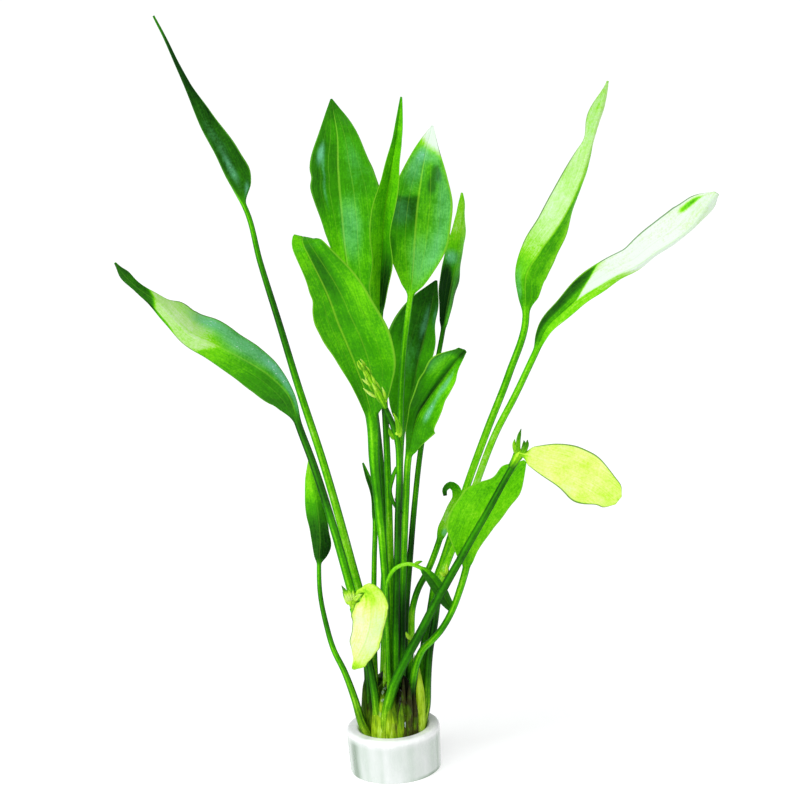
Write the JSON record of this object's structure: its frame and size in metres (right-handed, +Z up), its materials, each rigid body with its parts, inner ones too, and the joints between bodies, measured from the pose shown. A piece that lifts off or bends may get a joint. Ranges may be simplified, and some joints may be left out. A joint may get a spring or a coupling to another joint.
{
  "type": "potted amazon sword plant",
  "caption": "Rosette of long-stalked, lance-shaped leaves and slender flower stalks growing from one rootstock held in a short, thick-walled white ceramic ring.",
  "frame": {"origin": "centre of the underside, on the axis of the ceramic ring, at the level of the surface that it stands on", "axes": "+Z up along the ring's axis; the show side of the plant, the one in the picture, faces -Y; +X to the right as the show side is looked at"},
  "size_m": [0.1855, 0.0647, 0.2527],
  "materials": {
    "white_ceramic": "white, softly glazed",
    "rootstock": "fibrous and damp",
    "deep_green_leaf": "glossy, waxy leaf",
    "fresh_green_leaf": "glossy, waxy leaf",
    "pale_leaf": "thin, satin leaf",
    "flower_stalk": "satin, ridged stalk",
    "bract": "papery satin"
  },
  "bodies": {
    "root": {"ceramic_ring": "white_ceramic", "rootstock": "rootstock", "leaf_01_tall_left": "deep_green_leaf", "leaf_02_arching_left": "deep_green_leaf", "leaf_03_small_left": "deep_green_leaf", "leaf_04_broad_rear": "deep_green_leaf", "leaf_05_broad_front": "fresh_green_leaf", "leaf_06_narrow_centre": "fresh_green_leaf", "leaf_07_pale_centre": "fresh_green_leaf", "leaf_08_narrow_right": "deep_green_leaf", "leaf_09_dark_rear": "deep_green_leaf", "leaf_10_folded_right": "fresh_green_leaf", "leaf_11_upright_right": "fresh_green_leaf", "leaf_12_far_right": "fresh_green_leaf", "leaf_13_bright_low_right": "fresh_green_leaf", "leaf_14_small_hooked": "fresh_green_leaf", "leaf_15_small_arching": "deep_green_leaf", "leaf_16_young_spear": "deep_green_leaf", "flower_stalk_right": "flower_stalk", "bract_tuft_right": "bract", "plantlet_leaf_right": "pale_leaf", "flower_stalk_left": "flower_stalk", "bract_tuft_left": "bract", "plantlet_leaf_left": "pale_leaf", "flower_stalk_centre": "flower_stalk", "bud_cluster_centre": "bract"}
  },
  "joints": []
}
